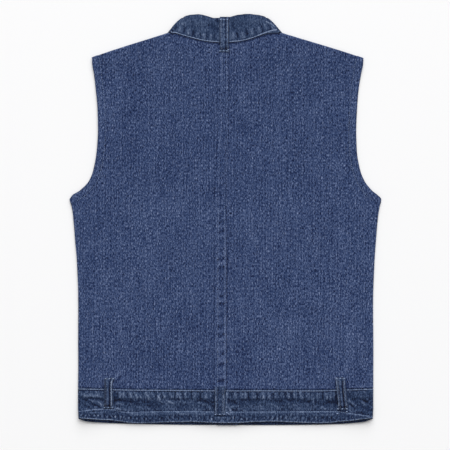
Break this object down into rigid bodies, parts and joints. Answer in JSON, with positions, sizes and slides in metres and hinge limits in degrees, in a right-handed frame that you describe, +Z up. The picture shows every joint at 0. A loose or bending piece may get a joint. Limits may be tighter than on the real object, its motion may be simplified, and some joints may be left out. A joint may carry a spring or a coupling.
{
  "type": "denim vest",
  "caption": "Sleeveless denim vest with a stand collar and a looped waistband, lying flat on its front with the back facing up.",
  "frame": {"origin": "centre of the vest's outline, on the surface that it lies on", "axes": "+Y towards the collar, +X towards the wearer's right, +Z up out of the vest's back"},
  "size_m": [0.5446, 0.7199, 0.0105],
  "materials": {
    "body_denim": "washed indigo denim, matte, with light flecks along the warp",
    "band_denim": "doubled indigo denim, matte, puckered along its stitching, worn pale on the ridges",
    "topstitch": "tone-on-tone cotton thread, slightly paler than the cloth"
  },
  "bodies": {
    "root": {"back_left": "body_denim", "back_right": "body_denim", "front_left": "body_denim", "front_right": "body_denim", "collar": "band_denim", "waistband_back": "band_denim", "waistband_front_left": "band_denim", "waistband_front_right": "band_denim", "belt_loop_left": "band_denim", "belt_loop_centre": "band_denim", "belt_loop_right": "band_denim", "collar_loop": "band_denim"}
  },
  "joints": []
}
